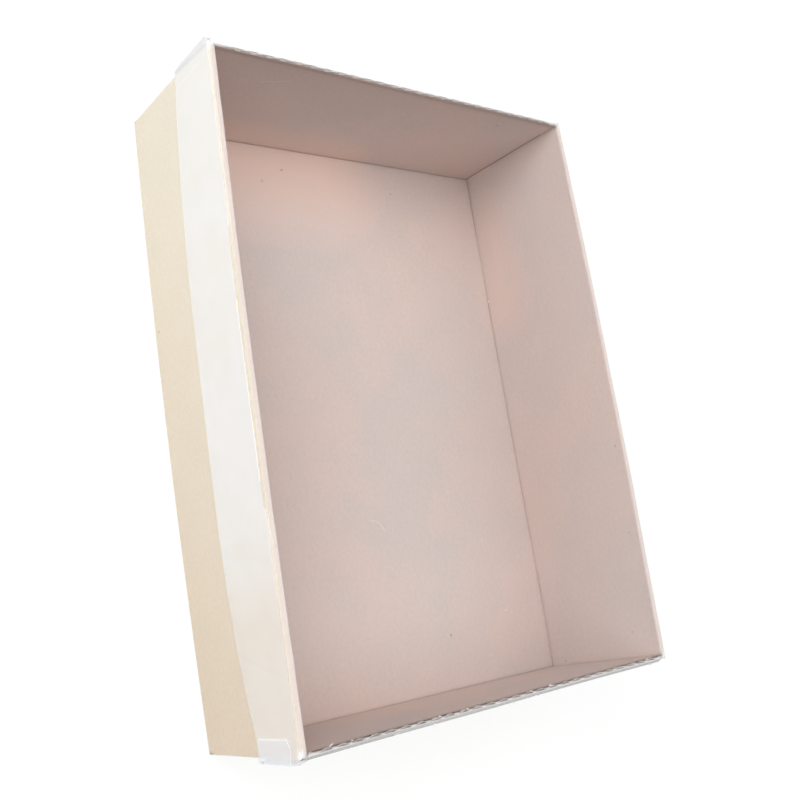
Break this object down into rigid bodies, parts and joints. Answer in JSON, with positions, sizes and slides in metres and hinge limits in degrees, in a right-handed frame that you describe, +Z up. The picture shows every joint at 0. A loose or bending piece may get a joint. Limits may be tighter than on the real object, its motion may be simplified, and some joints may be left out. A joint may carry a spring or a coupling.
{
  "type": "cardboard tray box",
  "caption": "Shallow open rectangular tray folded from one sheet of corrugated kraft card, with clear tape round its corners; holds papers and small goods.",
  "frame": {"origin": "centre of the floor panel, on the underside that the tray rests on", "axes": "+X along the long side, +Y across the short side from the taped front wall to the back wall, +Z up out of the open top"},
  "size_m": [0.3076, 0.2279, 0.081],
  "materials": {
    "kraft_board": "matt uncoated kraft liner, fine fibre mottle, pinkish brown inside, light tan outside",
    "clear_tape": "clear glossy packing tape, slightly milky, with soft wrinkles"
  },
  "bodies": {
    "root": {"folded_tray": "kraft_board", "front_tape": "clear_tape", "corner_tape_tab": "clear_tape", "back_tape": "clear_tape"}
  },
  "joints": []
}
